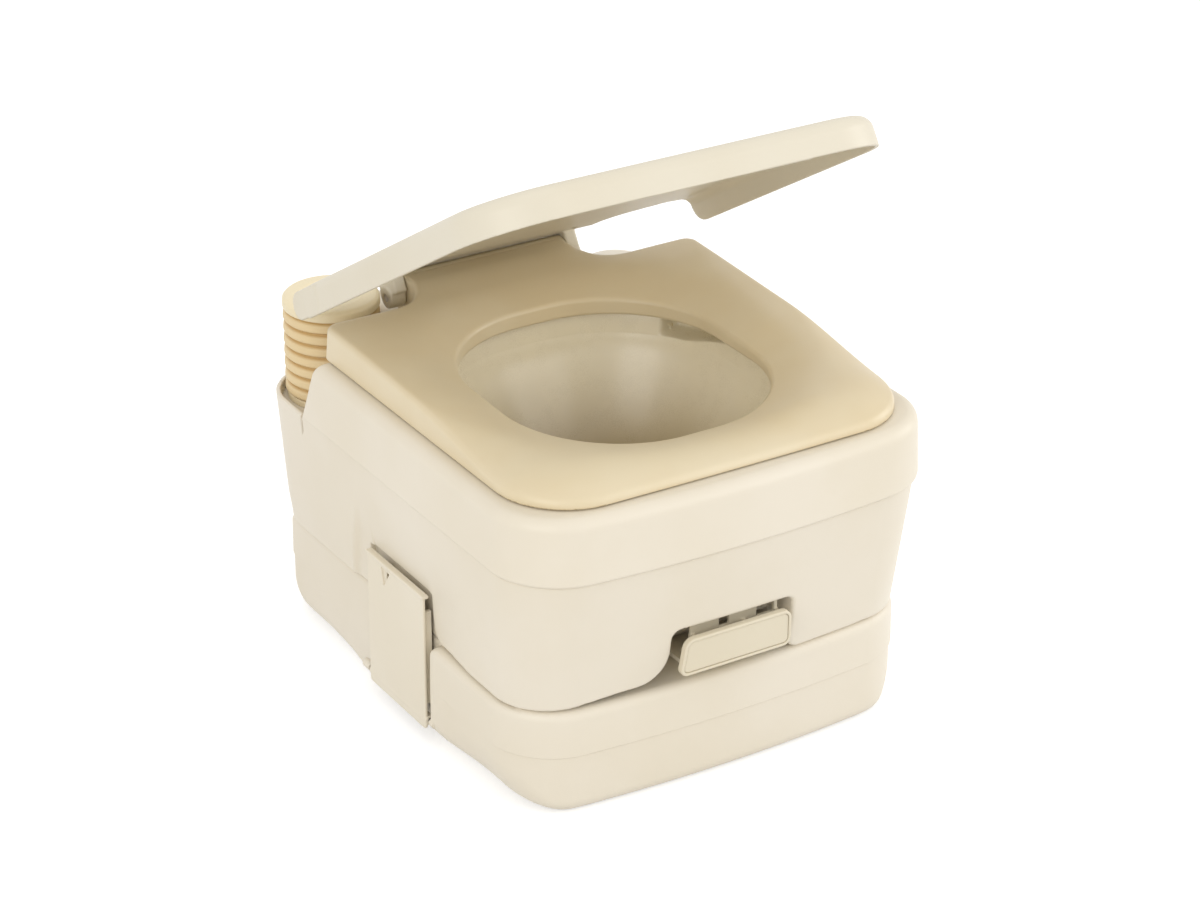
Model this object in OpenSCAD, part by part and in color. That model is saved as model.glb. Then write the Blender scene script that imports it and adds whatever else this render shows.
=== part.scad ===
// Portable toilet of the ten litre class, with slide valve, bellows pump and hinged lid
// Millimetres. The front faces -Y, +X is to the right seen from the front, +Z is up.
// The origin lies on the floor under the middle of the body.

/* [Body] */
// Width over the lower edge of the deck, the widest line of the body
body_w = 342; // [336:1:352]
// Depth over the same line, from the bowed front to the rear
body_d = 414; // [408:1:424]
// How far the middle of the front stands before its corners
front_bow = 12; // [6:1:14]
// Radius of the upright corners in plan
corner_r = 49; // [44:1:54]
// Wall of the moulded shells
wall = 3; // [2.5:0.1:3.4]

/* [Heights] */
// Where the flush tank stands on the waste tank
split_z = 81; // [78:0.5:84]
// Shallow step around the waste tank
step_z = 46; // [40:0.5:54]
// Lower edge of the deck
deck_z = 187; // [184:0.5:190]
// Ledge of the deck that carries the seat
ledge_z = 236; // [234:0.5:239]
// Floor of the two shelves in the rear corners
shelf_z = 179; // [176:0.5:181]
// Sheets of the flush tank's floor: underside
floor_z = 104; // [104:0.5:106]

/* [Slide valve] */
// Centre of the bowl's outlet, front to back
valve_y = -25; // [-30:1:-20]
// Radius of the outlet
outlet_r = 40; // [36:0.5:42]
// Radius of the blade's round end
blade_r = 50; // [48.5:0.5:52]
// Thickness of the blade
blade_t = 3; // [2.4:0.1:3.2]
// How far the blade pulls out
valve_travel = 112; // [108:1:116]
// Width of the grip
grip_w = 90; // [84:1:94]
// Height of the grip's face
grip_h = 28; // [24:0.5:30]

/* [Latches] */
// Width of each side latch
latch_w = 86; // [76:1:88]
// Upper end of the latch
latch_top = 118; // [112:0.5:120]
// Height of the latch's pin
latch_pin_z = 17; // [16:0.5:19]
// Thickness of the latch plate
latch_t = 3.2; // [2.6:0.1:3.6]

/* [Seat and lid] */
// Side of the seat inside the side of the body
seat_edge = 14; // [13:0.5:18]
// Depth of the seat's rim, front edge to rear corners
seat_d = 298; // [292:1:300]
// Half width of the seat's opening
open_a = 102.5; // [96:0.5:106]
// Half length of the seat's opening
open_b = 109.5; // [104:0.5:112]
// Centre of the opening in front of the seat's rear edge
open_back = 140.5; // [139:0.5:142]
// Height of the seat's edge at the front
edge_front = 6; // [4:0.5:8]
// Height of the seat's edge at the rear
edge_rear = 18; // [14:0.5:18]
// Side of the lid inside the side of the body
lid_edge = 6; // [5:0.5:8]
// Angle at which the lid stands open
lid_angle = 31.5; // [0:0.5:90]
// Hinge axis in front of the rear of the body
hinge_back = 52; // [50:0.5:53]
// Height of the hinge axis
hinge_z = 250; // [249.5:0.5:252]
// Radius of the hinge pins
pin_r = 3; // [2.5:0.1:3.4]
// Radial gap between a pin and the part that turns on it
pin_gap = 0.05; // [0.02:0.01:0.09]

/* [Bellows pump] */
// Centre of the pump to the left side of the body
pump_side = 49; // [48:0.5:51]
// Centre of the pump to the rear of the body
pump_back = 41.5; // [41.3:0.1:42]
// Largest radius of the bellows
pump_r = 36; // [33:0.5:36.5]
// Number of folds
folds = 7; // [5:1:8]
// Height of the top of the folds
pump_top = 250; // [244:1:251]
// Depth of a fold
fold_depth = 4.6; // [3:0.2:5.4]

/* [Fill and pour openings] */
// Centre of the fill opening to the right side of the body
fill_side = 47; // [45:0.5:50]
// Radius of the fill cap
fill_r = 28; // [26:0.5:30]
// Radius of the filler neck
neck_r = 22; // [21:0.5:22.5]
// Radius of the pouring spout
spout_r = 18; // [17:0.5:18.5]
// Centre of the pouring spout to the right side of the body
spout_side = 83; // [76:1:90]
// Height of the pouring spout's axis
spout_z = 42; // [40:1:44]
// Radius of the spout cap
spout_cap_r = 23; // [21:0.5:24]

/* [Hidden] */
$fn = 64;
corner_n = 7;
// a section: half width, front, rear, front corner radius, bow, rear corner radius
sec_deck = [body_w / 2, -body_d / 2, body_d / 2, corner_r, front_bow, corner_r];
sec_flush_top = [body_w / 2 - 2.4, -body_d / 2 + 2.8, body_d / 2 - 2.4, corner_r - 2, front_bow, corner_r - 2];
sec_flush_low = [body_w / 2 - 9.4, -body_d / 2 + 18.5, body_d / 2 - 10, corner_r - 7, front_bow - 1, corner_r - 7];
sec_waste = [body_w / 2 - 6.2, -body_d / 2 + 17, body_d / 2 - 9, corner_r - 3, front_bow - 1, corner_r - 3];
seat_w = body_w - 2 * seat_edge;
lid_w = body_w - 2 * lid_edge;
pump_x = pump_side - body_w / 2;
spout_x = body_w / 2 - spout_side;
pump_y = body_d / 2 - pump_back;
fill_x = body_w / 2 - fill_side;
hinge_y = body_d / 2 - hinge_back;
seat_yr = hinge_y - 45.5;
seat_yf = seat_yr - seat_d;
open_y = seat_yr - open_back;
sec_seat = [seat_w / 2, seat_yf, seat_yr, 54, 1.5, 24];
sec_lid = [lid_w / 2, seat_yf - 7.5, hinge_y - 27, 56, 2, 22];
seat_z = ledge_z + 0.6;
lid_z = hinge_z - 5;
nose_r = 14;
rear_y = body_d / 2 - 9;
hub_in = body_w / 2 - 103;
hub_out = hub_in + 14;
blade_z = 94.3;
guide_y = valve_y - valve_travel - 18;
rail_x = blade_r + 12;
rail_y = blade_r - 6;
spout_recess_r = spout_cap_r + 8;
vent_z = 60;
stem_l = -40;
stem_r = 34;
grip_x = -3.5;
grip_y = -body_d / 2 + 6;
grip_z = 94;
notch_l = -58;
notch_r = 44;
notch_top = 132;
notch_r1 = 49;
latch_y = -5;
latch_x = body_w / 2 - 4.6;
latch_pin_x = latch_x - 3.9;
latch_pin_r = 1.6;
pocket_x = body_w / 2 - 15.5;
recess_x = body_w / 2 - 92;
recess_y = body_d / 2 - 78;
recess_slope = 25;
pump_low = shelf_z + 5;
nozzle_x = open_a - 2.5;
nozzle_y = open_y + 85;
nozzle_z = ledge_z - 14;
tube_z = shelf_z - 13;
bend_r = 14;

plastic = [0.90, 0.86, 0.77];
plastic_seat = [0.86, 0.79, 0.64];
rubber = [0.80, 0.70, 0.52];
dark_rubber = [0.20, 0.19, 0.18];
steel = [0.70, 0.70, 0.72];

// Plan outlines and lofts

function arc(cx, cy, r, from) =
    [for (i = [0 : corner_n - 1]) let (t = from + 90 * i / (corner_n - 1)) [cx + r * cos(t), cy + r * sin(t)]];

function edge(p, q, n) = [for (i = [1 : n]) p + (q - p) * i / (n + 1)];

function plan(s, d) =
    let (a = s[0] - d, f = s[1] + d, b = s[2] - d, rf = max(s[3] - d, 5), rb = max(s[5] - d, 5),
         mid = (f + b) / 2,
         pts = concat(
             arc(a - rb, b - rb, rb, 0), edge([a - rb, b], [-a + rb, b], 3),
             arc(-a + rb, b - rb, rb, 90), edge([-a, b - rb], [-a, f + rf], 3),
             arc(-a + rf, f + rf, rf, 180), edge([-a + rf, f], [a - rf, f], 7),
             arc(a - rf, f + rf, rf, 270), edge([a, f + rf], [a, b - rb], 3)))
    [for (p = pts) [p[0], p[1] + s[4] * pow(p[0] / a, 2) * max(0, (mid - p[1]) / (mid - f))]];

function ring(s, d, z) = [for (p = plan(s, d)) [p[0], p[1], z]];

function oval(a, b, y) = [a, y - b, y + b, min(a, b) * 0.88, 0, min(a, b) * 0.88];

// Middle of a ring's box
function middle(r) = [for (k = [0 : 2]) (min([for (p = r) p[k]]) + max([for (p = r) p[k]])) / 2];

// Skin through a stack of rings; a loop joins the last ring to the first, else both ends are closed
module loft(rings, loop = false) {
    n = len(rings[0]);
    m = len(rings);
    last = loop ? m - 1 : m - 2;
    sides = [for (j = [0 : last], i = [0 : n - 1])
        let (k = (j + 1) % m, h = (i + 1) % n)
        each [[j * n + i, k * n + i, k * n + h], [j * n + i, k * n + h, j * n + h]]];
    caps = loop ? [] : [for (i = [0 : n - 1]) let (h = (i + 1) % n)
        each [[m * n, i, h], [m * n + 1, (m - 1) * n + h, (m - 1) * n + i]]];
    ends = loop ? [] : [middle(rings[0]), middle(rings[m - 1])];
    polyhedron(points = concat([for (r = rings) each r], ends), faces = concat(sides, caps), convexity = 8);
}

module at(x, y, z = 0) {
    translate([x, y, z]) children();
}

module block(x0, x1, y0, y1, z0, z1) {
    translate([x0, y0, z0]) cube([x1 - x0, y1 - y0, z1 - z0]);
}

module tube(r_out, r_in, h) {
    difference() {
        cylinder(r = r_out, h = h);
        at(0, 0, -1) cylinder(r = r_in, h = h + 2);
    }
}

module x_bar(x0, x1, y, z, r) {
    translate([x0, y, z]) rotate([0, 90, 0]) cylinder(r = r, h = x1 - x0);
}

module y_bar(x, y0, y1, z, r) {
    translate([x, y1, z]) rotate([90, 0, 0]) cylinder(r = r, h = y1 - y0);
}

// Waste tank

module waste_body() {
    loft([ring(sec_waste, 7.5, 0), ring(sec_waste, 3.6, 1.6), ring(sec_waste, 1.4, 5),
          ring(sec_waste, 0.3, 12), ring(sec_waste, 0, step_z - 1), ring(sec_waste, 1.2, step_z),
          ring(sec_waste, 1.6, split_z - 9), ring(sec_waste, 3, split_z - 3), ring(sec_waste, 6, split_z)]);
}

module waste_hollow() {
    loft([ring(sec_waste, 8, wall), ring(sec_waste, wall + 1.4, 9), ring(sec_waste, wall + 1.4, split_z - 9),
          ring(sec_waste, 10, split_z - wall)]);
}

module side_pocket(side, y0, y1, z0, z1, depth) {
    if (side < 0) block(-body_w, -depth, y0, y1, z0, z1);
    else block(depth, body_w, y0, y1, z0, z1);
}

module waste_tank() {
    color(plastic) difference() {
        union() {
            waste_body();
            at(0, valve_y, split_z - 1) cylinder(r = outlet_r + 12, h = 8);
        }
        difference() {
            waste_hollow();
            for (side = [-1, 1]) side_pocket(side, latch_y - 60, latch_y + 60, -1, split_z, pocket_x - wall);
            y_bar(spout_x, rear_y - 30, body_d, spout_z, spout_recess_r + wall);
            y_bar(-spout_x, rear_y - 14, body_d, vent_z, 13);
        }
        at(0, valve_y, split_z - 10) cylinder(r = outlet_r, h = 20);
        for (side = [-1, 1]) {
            side_pocket(side, latch_y - 46, latch_y + 50, 8, split_z + 1, pocket_x);
            y_bar(side * latch_pin_x, latch_y - 52, latch_y + 56, latch_pin_z, latch_pin_r + pin_gap);
        }
        y_bar(spout_x, rear_y - 22, body_d, spout_z, spout_recess_r);
        y_bar(spout_x, rear_y - 38, body_d, spout_z, spout_r - 3);
        y_bar(-spout_x, rear_y - 18, body_d, vent_z, 8.5);
        for (x = [-rail_x, rail_x], y = [valve_y - rail_y, valve_y + rail_y]) at(x, y, split_z - 4) cylinder(r = 1.7, h = 5);
    }
}

// Slide valve

module valve_housing() {
    color(plastic) difference() {
        union() {
            block(-rail_x - 6, rail_x + 6, guide_y, valve_y + rail_x, split_z + 7, floor_z - 0.6);
            for (x = [-rail_x, rail_x], y = [guide_y + 8, valve_y - rail_y, valve_y + rail_y]) at(x, y, split_z) cylinder(r = 5, h = 7.5);
        }
        block(-blade_r - 1, blade_r + 1, guide_y - 1, valve_y + blade_r + 4, blade_z - 1.6, blade_z + blade_t + 1.6);
        at(0, valve_y, 0) cylinder(r = outlet_r + 8, h = 200);
        for (x = [-rail_x, rail_x], y = [valve_y - rail_y, valve_y + rail_y]) {
            at(x, y, 0) cylinder(r = 1.7, h = 200);
            at(x, y, floor_z - 3.6) cylinder(r = 3.7, h = 10);
        }
    }
}

module valve_seal_lower() {
    color(dark_rubber) at(0, valve_y, split_z + 7) tube(outlet_r + 7.9, outlet_r + 0.5, blade_z - 0.3 - split_z - 7);
}

module valve_seal_upper() {
    color(dark_rubber) at(0, valve_y, blade_z + blade_t + 0.3)
        tube(outlet_r + 7.9, outlet_r + 0.5, floor_z - blade_z - blade_t - 0.3);
}

module valve_screws() {
    color(steel) for (x = [-rail_x, rail_x], y = [valve_y - rail_y, valve_y + rail_y]) {
        at(x, y, split_z - 3) cylinder(r = 1.6, h = floor_z - 3.6 - split_z + 3);
        at(x, y, floor_z - 3.6) cylinder(r = 3.5, h = 2.4);
    }
}

module valve_blade() {
    color(plastic) difference() {
        union() {
            at(0, valve_y, blade_z) cylinder(r = blade_r, h = blade_t);
            block(stem_l, stem_r, grip_y + 14, valve_y, blade_z, blade_z + blade_t);
        }
        for (x = [-24, 17]) at(x, grip_y + 22, 0) cylinder(r = 2.1, h = 200);
    }
}

module grip_face(d) {
    offset(r = 7) offset(delta = -7 - d) square([grip_w, grip_h], center = true);
}

module valve_handle() {
    color(plastic) difference() {
        union() {
            at(grip_x, grip_y + 6, grip_z + grip_h / 2) rotate([90, 0, 0]) linear_extrude(6) grip_face(0);
            block(stem_l - 4, stem_r + 4, grip_y + 5, grip_y + 28, blade_z + blade_t, blade_z + blade_t + 3);
            for (x = [stem_l - 4, -22, 5, stem_r - 4])
                block(x, x + 8, grip_y + 5, grip_y + 14, blade_z + blade_t, grip_z + grip_h - 1);
            block(stem_l - 4, stem_r + 4, grip_y + 11, grip_y + 14, blade_z + blade_t, grip_z + grip_h - 9);
            for (x = [-24, 17]) at(x, grip_y + 22, blade_z) cylinder(r = 2, h = blade_t + 1);
        }
        at(grip_x, grip_y + 1.6, grip_z + grip_h / 2) rotate([90, 0, 0]) linear_extrude(6) grip_face(3.6);
    }
}

module handle_panel() {
    color(plastic) at(grip_x, grip_y + 1.6, grip_z + grip_h / 2) rotate([90, 0, 0]) linear_extrude(0.8) grip_face(4);
}

// Side latches

module latch(side) {
    x_out = side * latch_x;
    y0 = latch_y - latch_w / 2;
    y1 = latch_y + latch_w / 2;
    xa = min(x_out, x_out - side * latch_t);
    xb = max(x_out, x_out - side * latch_t);
    xc = min(x_out, side * (latch_x - 8.5));
    xd = max(x_out, side * (latch_x - 8.5));
    color(plastic) difference() {
        union() {
            block(xa, xb, y0, y1, latch_pin_z - 7, latch_top);
            y_bar(side * latch_pin_x, y0, y1, latch_pin_z, 3.6);
            block(min(xa, side * latch_pin_x), max(xb, side * latch_pin_x), y0, y1, latch_pin_z - 3.6, latch_pin_z + 3.6);
            for (y = [y0, latch_y - 2, y1 - 4]) block(xc, xd, y, y + 4, latch_pin_z + 12, latch_top - 14);
            block(xc, xd, latch_y - 30, latch_y + 30, latch_top - 14, latch_top - 10);
        }
        y_bar(side * latch_pin_x, y0 - 1, y1 + 1, latch_pin_z, latch_pin_r + pin_gap);
        translate([side * (latch_x + 1), latch_y + 13, latch_top - 14]) rotate([0, -90 * side, 0])
            linear_extrude(2, center = true) polygon([[-7.5, 6], [8 * side - 1, 7], [7 * side - 1, -4]]);
    }
}

module latch_left() {
    latch(-1);
}

module latch_right() {
    latch(1);
}

module latch_pins() {
    color(steel) for (side = [-1, 1])
        y_bar(side * latch_pin_x, latch_y - 51, latch_y + 55, latch_pin_z, latch_pin_r);
}

// Pouring spout and vent at the rear of the waste tank

module pour_spout() {
    color(plastic) at(0, rear_y) difference() {
        union() {
            y_bar(spout_x, -26, -5, spout_z, spout_r);
            y_bar(spout_x, -22, -19, spout_z, spout_recess_r - 0.2);
        }
        y_bar(spout_x, -38, 22, spout_z, spout_r - 4);
        y_bar(spout_x, -28, -22, spout_z, spout_recess_r + 9);
    }
}

module spout_seal() {
    color(dark_rubber) at(0, rear_y) difference() {
        y_bar(spout_x, -4.6, -2.6, spout_z, spout_r + 1.5);
        y_bar(spout_x, -5, -2, spout_z, spout_r - 5.5);
    }
}

module spout_cap() {
    color(plastic) at(0, rear_y) difference() {
        union() {
            y_bar(spout_x, -18, 2, spout_z, spout_cap_r);
            for (i = [0 : 11]) translate([spout_x, 0, spout_z]) rotate([0, 30 * i, 0])
                block(-1.5, 1.5, -17, 1, spout_cap_r - 1, spout_cap_r + 1.6);
            block(spout_x - 16, spout_x + 16, 1, 7, spout_z - 2.5, spout_z + 2.5);
        }
        y_bar(spout_x, -28, -2.6, spout_z, spout_r + 1.6);
    }
}

module vent_bushing() {
    color(plastic) at(0, rear_y) difference() {
        union() {
            y_bar(-spout_x, -17, -0.5, vent_z, 8.4);
            y_bar(-spout_x, -1.2, 1, vent_z, 12);
        }
        y_bar(-spout_x, -15, 22, vent_z, 6);
        y_bar(-spout_x, -38, 22, vent_z, 2.4);
    }
}

module vent_button() {
    color(plastic) at(0, rear_y) {
        y_bar(-spout_x, -9.5, 5, vent_z, 5.6);
        y_bar(-spout_x, -19, -9, vent_z, 2);
    }
}

// Flush tank

module flush_solid(d) {
    loft([ring(sec_flush_low, d, split_z), ring(sec_flush_top, d, deck_z)]);
}

// Section of the flush tank at a height
function flush_sec(z) = sec_flush_low + (sec_flush_top - sec_flush_low) * (z - split_z) / (deck_z - split_z);

module flush_shell() {
    loft([ring(flush_sec(floor_z), wall, floor_z), ring(flush_sec(split_z), wall, split_z),
          ring(flush_sec(split_z), 1.5, split_z), ring(flush_sec(split_z + 2), 0, split_z + 2),
          ring(flush_sec(deck_z), 0, deck_z), ring(flush_sec(deck_z), wall, deck_z),
          ring(flush_sec(floor_z + wall), wall, floor_z + wall)]);
}

// Arched opening for the valve grip, with a wide sweep on its left
module notch_shape() {
    polygon(concat(
        [[notch_r + 8, split_z - 2]],
        [for (t = [0 : 15 : 90]) [notch_r + 8 - 8 * cos(90 - t), split_z - 2 + 8 - 8 * cos(t)]],
        [for (t = [0 : 15 : 90]) [notch_r - 8 + 8 * cos(t), notch_top - 8 + 8 * sin(t)]],
        [for (t = [90 : 15 : 180]) [notch_l + 8 + 8 * cos(t), notch_top - 8 + 8 * sin(t)]],
        [for (t = [-5 : -8.5 : -90]) [notch_l - notch_r1 + notch_r1 * cos(t), split_z - 1 + notch_r1 + notch_r1 * sin(t)]],
        [[notch_l - notch_r1, split_z - 2]]));
}

module corner_block(side, d, z0, z1) {
    x0 = recess_x - d;
    if (side < 0) block(-body_w, -x0, recess_y - d, body_d, z0, z1);
    else block(x0, body_w, recess_y - d, body_d, z0, z1);
}

module flush_tank() {
    color(plastic) difference() {
        union() {
            flush_shell();
            intersection() {
                flush_solid(1);
                union() {
                    for (side = [-1, 1]) {
                        corner_block(side, wall, shelf_z - wall, deck_z);
                        side_pocket(side, latch_y - 50, latch_y + 54, split_z, 132, pocket_x - wall);
                    }
                    block(notch_l - 4, notch_r + 4, -body_d, grip_y + 42, floor_z, notch_top + wall);
                }
            }
        }
        for (side = [-1, 1]) {
            intersection() {
                flush_solid(wall);
                corner_block(side, 0, shelf_z, deck_z + 1);
            }
            side_pocket(side, latch_y - 46, latch_y + 47, split_z - 1, 127, pocket_x);
        }
        translate([0, grip_y + 38, 0]) rotate([90, 0, 0]) linear_extrude(80) notch_shape();
        at(0, valve_y, floor_z - 1) cylinder(r = outlet_r + 4.4, h = 10);
        at(pump_x, pump_y, shelf_z - 10) cylinder(r = 9.2, h = 20);
        at(fill_x, pump_y, shelf_z - 10) cylinder(r = neck_r + 0.1, h = 20);
    }
}

// Deck

module deck_solid() {
    loft([ring(sec_deck, 0.8, deck_z), ring(sec_deck, 0, deck_z + 2), ring(sec_deck, 1.6, ledge_z - 14),
          ring(sec_deck, 2.6, ledge_z - 6), ring(sec_deck, 5, ledge_z - 1), ring(sec_deck, 8, ledge_z + 0.6),
          ring(sec_deck, 11, ledge_z)]);
}

module deck_shell() {
    hole = oval(open_a + 11, open_b + 12, open_y);
    loft([ring(sec_deck, 0.8, deck_z), ring(sec_deck, 0, deck_z + 2), ring(sec_deck, 1.6, ledge_z - 14),
          ring(sec_deck, 2.6, ledge_z - 6), ring(sec_deck, 5, ledge_z - 1), ring(sec_deck, 8, ledge_z + 0.6),
          ring(sec_deck, 11, ledge_z), ring(hole, 0, ledge_z), ring(hole, 0, ledge_z - wall),
          ring(sec_deck, 11, ledge_z - wall), ring(sec_deck, 6, ledge_z - 8),
          ring(sec_deck, wall + 0.4, deck_z + 4), ring(sec_deck, wall + 2, deck_z)], true);
}

// Space of a rear corner above the shelf, with its sloping front side
module corner_space(side, d) {
    x0 = recess_x - d;
    s = side < 0 ? 0 : 1;
    translate([side < 0 ? -x0 : body_w, 0, 0]) rotate([90, 0, -90]) linear_extrude(body_w - x0)
        polygon([[-recess_y + d, deck_z - 20], [-recess_y + d, deck_z - 9], [-recess_y + d + recess_slope, ledge_z + 9],
                 [-body_d, ledge_z + 9], [-body_d, deck_z - 20]]);
}

module deck_cover() {
    color(plastic) difference() {
        union() {
            deck_shell();
            intersection() {
                deck_solid();
                union() {
                    for (side = [-1, 1]) corner_space(side, wall);
                }
            }
        }
        for (side = [-1, 1]) corner_space(side, 0);
    }
}

// Bowl

module bowl() {
    a = open_a + 11;
    b = open_b + 12;
    y = open_y;
    z = ledge_z - wall;
    v = valve_y;
    color(plastic_seat) difference() {
        union() {
            loft([ring(oval(47, 47, v), 0, floor_z + wall + 4), ring(oval(60, 60, v - 2), 0, 126),
                  ring(oval(78, 82, y + 3), 0, 148), ring(oval(94, 100, y + 1), 0, 175),
                  ring(oval(a - 5, b - 5, y), 0, 204), ring(oval(a + 3, b + 3, y), 0, z - 4),
                  ring(oval(a + 12, b + 12, y), 0, z - 3), ring(oval(a + 12, b + 12, y), 0, z),
                  ring(oval(a, b, y), 0, z), ring(oval(a - 8, b - 8, y), 0, 204),
                  ring(oval(91, 97, y + 1), 0, 175), ring(oval(75, 79, y + 3), 0, 148.6),
                  ring(oval(56.5, 56.5, v - 2), 0, 127), ring(oval(42, 42, v), 0, floor_z + wall + 4)], true);
            at(0, v, floor_z) tube(outlet_r + 4.2, outlet_r, wall + 5);
            at(0, v, floor_z + wall) tube(outlet_r + 9, outlet_r, 5);
        }
        y_bar(nozzle_x, nozzle_y - 44, nozzle_y + 16, nozzle_z, 7.1);
    }
}

module flush_nozzle() {
    color(plastic) difference() {
        union() {
            y_bar(nozzle_x, nozzle_y - 20, nozzle_y, nozzle_z, 7);
            y_bar(nozzle_x, nozzle_y, nozzle_y + 10, nozzle_z, 3.9);
        }
        y_bar(nozzle_x, nozzle_y - 16, nozzle_y + 16, nozzle_z, 2.8);
        block(nozzle_x - 8, nozzle_x + 3, nozzle_y - 24, nozzle_y - 8, nozzle_z - 2.4, nozzle_z + 2.4);
    }
}

// Quarter bend of pipe about the Z axis, from +X towards +Y
module bend(r_out, r_in) {
    rotate_extrude(angle = 90) translate([bend_r, 0]) difference() {
        circle(r = r_out);
        circle(r = r_in);
    }
}

module flush_tube() {
    x0 = pump_x + 9.4;
    xb = recess_x - 19;
    y1 = nozzle_y + 31;
    color(rubber) {
        translate([x0, pump_y, tube_z]) rotate([0, 90, 0]) tube(5.5, 4, xb - bend_r - x0);
        translate([xb - bend_r, pump_y, tube_z + bend_r]) rotate([-90, 0, 0]) bend(5.5, 4);
        at(xb, pump_y, tube_z + bend_r) tube(5.5, 4, nozzle_z - tube_z - 2 * bend_r);
        translate([xb, pump_y - bend_r, nozzle_z - bend_r]) rotate([90, 0, 90]) bend(5.5, 4);
        translate([xb, pump_y - bend_r, nozzle_z]) rotate([90, 0, 0]) tube(5.5, 4, pump_y - 2 * bend_r - y1);
        translate([xb + bend_r, y1 + bend_r, nozzle_z]) rotate([0, 0, 180]) bend(5.5, 4);
        translate([xb + bend_r, y1, nozzle_z]) rotate([0, 90, 0]) tube(5.5, 4, nozzle_x - xb - 2 * bend_r);
        translate([nozzle_x - bend_r, y1 - bend_r, nozzle_z]) bend(5.5, 4);
        translate([nozzle_x, y1 - bend_r, nozzle_z]) rotate([90, 0, 0]) tube(5.5, 4, y1 - bend_r - nozzle_y - 1);
    }
}

module pickup_tube() {
    color(plastic) at(pump_x, pump_y, floor_z + 8) tube(5, 3.6, shelf_z - 21 - floor_z - 8);
}

// Bellows pump

module pump_collar() {
    color(plastic) at(pump_x, pump_y, shelf_z) tube(pump_r - 1.6, pump_r - 7, pump_low - shelf_z);
}

module pump_valve() {
    color(plastic) at(pump_x, pump_y, 0) difference() {
        union() {
            at(0, 0, shelf_z) cylinder(r = 16, h = 2);
            at(0, 0, shelf_z - 21) cylinder(r = 9, h = 22);
            at(0, 0, shelf_z + 2) cylinder(r = 7, h = 8);
        }
        at(0, 0, shelf_z - 30) cylinder(r = 3.6, h = 60);
        translate([0, 0, tube_z]) rotate([0, 90, 0]) cylinder(r = 4, h = 20);
    }
}

function fold_points(r, low, high) =
    let (p = (high - low) / folds)
    [for (i = [0 : folds - 1]) each [[r - fold_depth, low + p * i], [r, low + p * (i + 0.34)], [r, low + p * (i + 0.66)]]];

module bellows() {
    low = pump_low;
    skin = 1.5;
    out = concat(fold_points(pump_r, low, pump_top), [[pump_r - fold_depth, pump_top]]);
    inner = [for (i = [len(out) - 1 : -1 : 0]) [out[i][0] - skin, out[i][1]]];
    color(rubber) at(pump_x, pump_y, 0) rotate_extrude() polygon(concat(out, inner));
}

module bellows_cap() {
    color(rubber) at(pump_x, pump_y, pump_top) rotate_extrude()
        polygon([[0, 0], [pump_r - 1.2, 0], [pump_r, 1.2], [pump_r, 5.5], [pump_r - 1, 7.6], [pump_r - 4, 9],
                 [pump_r - 12, 9.8], [0, 10]]);
}

// Fill opening

module filler_neck() {
    color(plastic) at(fill_x, pump_y, shelf_z) difference() {
        union() {
            at(0, 0, -7) cylinder(r = neck_r, h = 42);
            cylinder(r = neck_r + 5, h = 3);
            for (z = [27, 30.5]) at(0, 0, z) cylinder(r = neck_r + 0.8, h = 1.6);
        }
        at(0, 0, -19) cylinder(r = neck_r - 4, h = 80);
    }
}

module fill_seal() {
    color(dark_rubber) at(fill_x, pump_y, shelf_z + 35.4) tube(neck_r + 0.8, neck_r - 5.5, 2);
}

module fill_cap() {
    color(plastic) at(fill_x, pump_y, shelf_z) difference() {
        union() {
            at(0, 0, 25) cylinder(r = fill_r - 1.2, h = 22);
            at(0, 0, 47) rotate_extrude()
                polygon([[0, 0], [fill_r - 1.2, 0], [fill_r - 3, 2.6], [fill_r - 10, 5], [0, 6]]);
            for (i = [0 : 17]) rotate([0, 0, 20 * i]) block(fill_r - 2.4, fill_r, -1.4, 1.4, 26, 45);
        }
        at(0, 0, 21) cylinder(r = neck_r + 1.4, h = 16.4);
    }
}

// Seat

// Ring a share t of the way from the seat's outline to its opening, at a share h of the crown, lowered by d
function seat_ring(t, h, d) =
    let (p = plan(sec_seat, 0), q = plan(oval(open_a, open_b, open_y), 0))
    [for (i = [0 : len(p) - 1])
        let (x = p[i][0] + (q[i][0] - p[i][0]) * t, y = p[i][1] + (q[i][1] - p[i][1]) * t,
             u = (y - seat_yf) / seat_d,
             top = ledge_z + edge_front + 8.6 + (edge_rear - edge_front - 1.4) * u,
             low = ledge_z + 3 + (edge_rear - edge_front) / 3 * u)
        [x, y, low + h * (top - low) - d]];

function seat_base(t) = [for (p = seat_ring(t, 0, 0)) [p[0], p[1], seat_z]];

module seat_shell() {
    loft([seat_base(0), seat_ring(0.02, 1, 9.1), seat_ring(0.1, 1, 4.2), seat_ring(0.26, 1, 0.9), seat_ring(0.5, 1, 0),
          seat_ring(0.74, 0.74, 0), seat_ring(0.93, 0.4, 0), seat_ring(1, 0, 0), seat_base(1), seat_base(0.95),
          seat_ring(0.92, 0.4, wall + 1.2), seat_ring(0.74, 0.74, wall), seat_ring(0.5, 1, wall),
          seat_ring(0.26, 1, wall + 1), seat_ring(0.14, 1, wall + 3.6), seat_ring(0.08, 1, wall + 8.4), seat_base(0.056)],
         true);
}

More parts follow.
